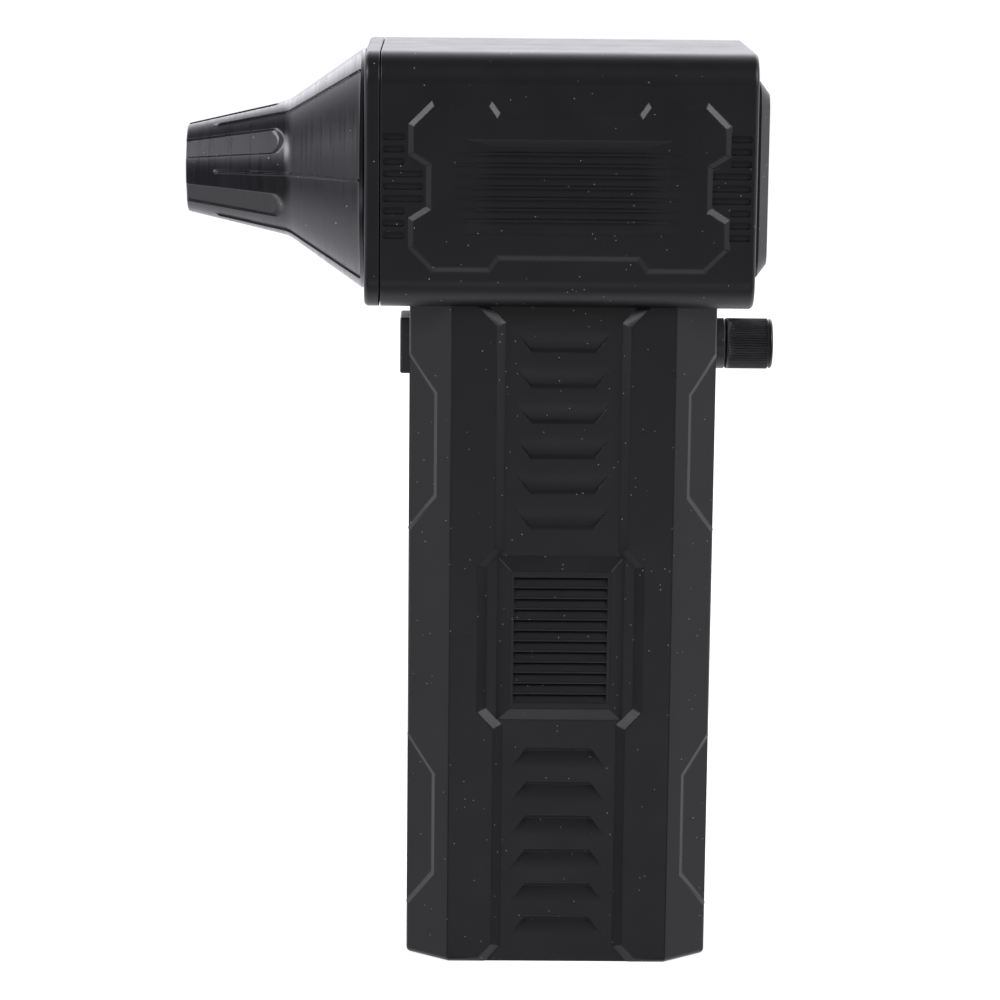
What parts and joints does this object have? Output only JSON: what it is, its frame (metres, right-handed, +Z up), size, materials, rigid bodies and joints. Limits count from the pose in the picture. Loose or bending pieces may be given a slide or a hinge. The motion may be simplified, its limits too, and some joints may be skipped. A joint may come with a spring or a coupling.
{
  "type": "car dryer blower",
  "caption": "Handheld battery air blower with a square fan head, removable nozzle cone, straight battery grip, push button and speed knob.",
  "frame": {"origin": "centre of the grip's flat bottom face", "axes": "+Z up along the grip to the fan head, -X the way the air leaves through the nozzle, +Y towards the right half of the housing"},
  "size_m": [0.1278, 0.058, 0.2],
  "materials": {
    "shell": "black glass-filled nylon, fine spark texture",
    "nozzle_plastic": "black ABS, satin polished",
    "button_plastic": "black ABS, satin",
    "knob_plastic": "black ABS with knurled side",
    "duct_plastic": "black nylon as moulded",
    "plunger_plastic": "white acetal",
    "damper_rubber": "silicone rubber",
    "aluminium": "turned aluminium",
    "steel": "zinc-plated steel",
    "magnet": "epoxy-coated neodymium",
    "copper": "enamelled copper wire",
    "cell_wrap": "heat-shrunk PVC sleeve",
    "board": "green solder mask on glass epoxy",
    "wire": "silicone wire insulation",
    "lens": "clear acrylic light pipe"
  },
  "bodies": {
    "housing": {"left_housing": "shell", "right_housing": "shell", "front_plate": "shell", "front_plate_screws": "steel", "fan_duct": "duct_plastic", "front_damper": "damper_rubber", "rear_damper": "damper_rubber", "tail_cone": "duct_plastic", "motor_mount": "aluminium", "motor_screws": "steel", "front_bearing": "steel", "rear_bearing": "steel", "motor_core": "steel", "motor_windings": "copper", "rear_cover": "shell", "rear_cover_screws": "steel", "intake_guard": "button_plastic", "button_switch": "duct_plastic", "button_spring": "steel", "knob_collar": "button_plastic", "potentiometer": "aluminium", "potentiometer_nut": "steel", "housing_screws": "steel", "battery_cells": "cell_wrap", "lower_cell_holder": "duct_plastic", "upper_cell_holder": "duct_plastic", "cell_straps": "steel", "battery_board": "board", "control_board": "board", "power_transistors": "magnet", "capacitors": "aluminium", "heat_sink": "aluminium", "motor_connector": "duct_plastic", "motor_leads": "wire", "battery_leads": "wire", "charge_port": "steel", "charge_board": "board", "light_pipe": "lens"},
    "nozzle": {"nozzle": "nozzle_plastic"},
    "button": {"trigger_button": "button_plastic", "switch_plunger": "plunger_plastic"},
    "knob": {"speed_knob": "knob_plastic", "knob_shaft": "steel"},
    "rotor": {"motor_shaft": "steel", "rotor_bell": "steel", "rotor_magnets": "magnet", "impeller": "duct_plastic", "impeller_nut": "aluminium"}
  },
  "joints": [
    {"name": "button_push", "type": "slide", "parent": "housing", "child": "button", "axis": [1, 0, 0], "range_m": [0, 0.0015], "stiffness_N_per_m": 1200, "springref_m": -0.0012, "deforming": ["button_spring"]},
    {"name": "knob_turn", "type": "hinge", "parent": "housing", "child": "knob", "pos_m": [0.0331, 0, 0.1351], "axis": [1, 0, 0], "range_deg": [0, 270]},
    {"name": "rotor_spin", "type": "hinge", "parent": "housing", "child": "rotor", "pos_m": [0, 0, 0.1729], "axis": [1, 0, 0], "continuous": true},
    {"name": "nozzle_twist", "type": "hinge", "parent": "housing", "child": "nozzle", "pos_m": [-0.0395, 0, 0.1729], "axis": [1, 0, 0], "range_deg": [0, 40]}
  ]
}
